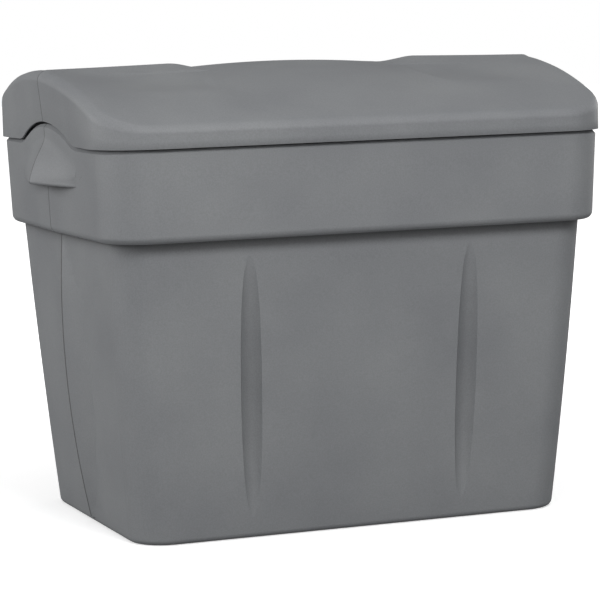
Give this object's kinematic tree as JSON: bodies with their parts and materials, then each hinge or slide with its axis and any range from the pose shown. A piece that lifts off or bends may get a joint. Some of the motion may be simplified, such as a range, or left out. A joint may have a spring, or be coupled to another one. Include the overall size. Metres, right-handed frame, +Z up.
{
  "type": "grit bin",
  "caption": "Outdoor bin that keeps road grit and salt dry: a tapered moulded tub with side hand grips and a hinged vaulted lid.",
  "frame": {"origin": "on the ground, under the middle of the tub's floor", "axes": "+X to the object's right seen from the front, +Y to the back where the hinges are, +Z up"},
  "size_m": [1.0662, 0.8072, 0.8715],
  "materials": {
    "moulded_polyethylene": "cool grey, with the fine even texture of a rotational mould",
    "zinc_plated_steel": "dull zinc plate"
  },
  "bodies": {
    "bin": {"tub": "moulded_polyethylene", "hinge_pin_left": "zinc_plated_steel", "hinge_pin_right": "zinc_plated_steel", "pin_washer_left": "zinc_plated_steel", "pin_washer_right": "zinc_plated_steel", "split_pin_left": "zinc_plated_steel", "split_pin_right": "zinc_plated_steel"},
    "lid": {"lid": "moulded_polyethylene"}
  },
  "joints": [
    {"name": "lid_hinge", "type": "hinge", "parent": "bin", "child": "lid", "pos_m": [0, 0.403, 0.705], "axis": [-1, 0, 0], "range_deg": [0, 105]}
  ]
}
